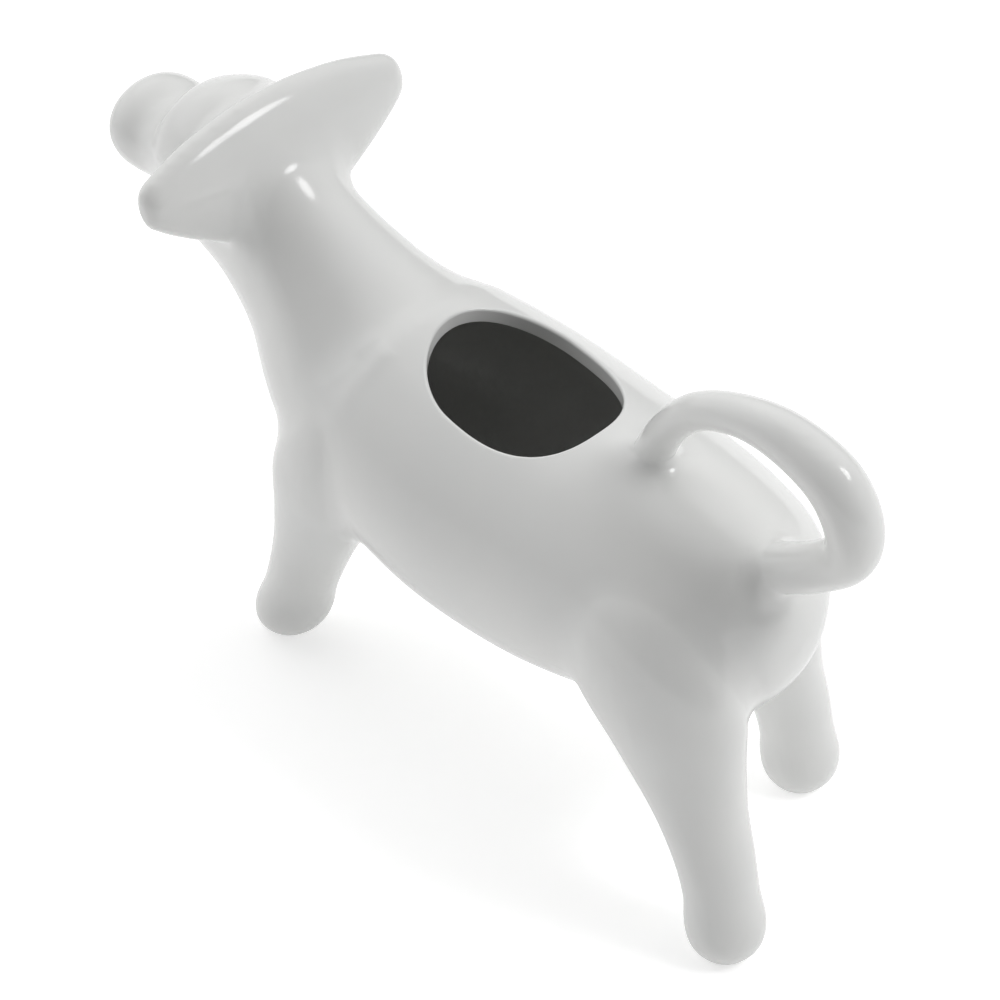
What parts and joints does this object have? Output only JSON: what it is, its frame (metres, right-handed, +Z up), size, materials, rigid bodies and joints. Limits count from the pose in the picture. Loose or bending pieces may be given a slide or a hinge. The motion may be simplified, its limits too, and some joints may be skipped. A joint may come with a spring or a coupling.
{
  "type": "cow creamer",
  "caption": "Small white glazed porcelain cream jug in the form of a standing cow, filled through an opening in its back, poured from its mouth and held by its looped tail.",
  "frame": {"origin": "middle of the jug's bounding box, on the surface it stands on", "axes": "+X the way the cow faces and pours, +Y the cow's left side, +Z up"},
  "size_m": [0.1765, 0.0574, 0.1046],
  "materials": {
    "porcelain": "gloss, clear glaze over white porcelain"
  },
  "bodies": {
    "root": {"body_shell": "porcelain", "neck": "porcelain", "head": "porcelain", "left_ear": "porcelain", "right_ear": "porcelain", "front_left_leg": "porcelain", "front_right_leg": "porcelain", "rear_left_leg": "porcelain", "rear_right_leg": "porcelain", "tail_handle": "porcelain"}
  },
  "joints": []
}
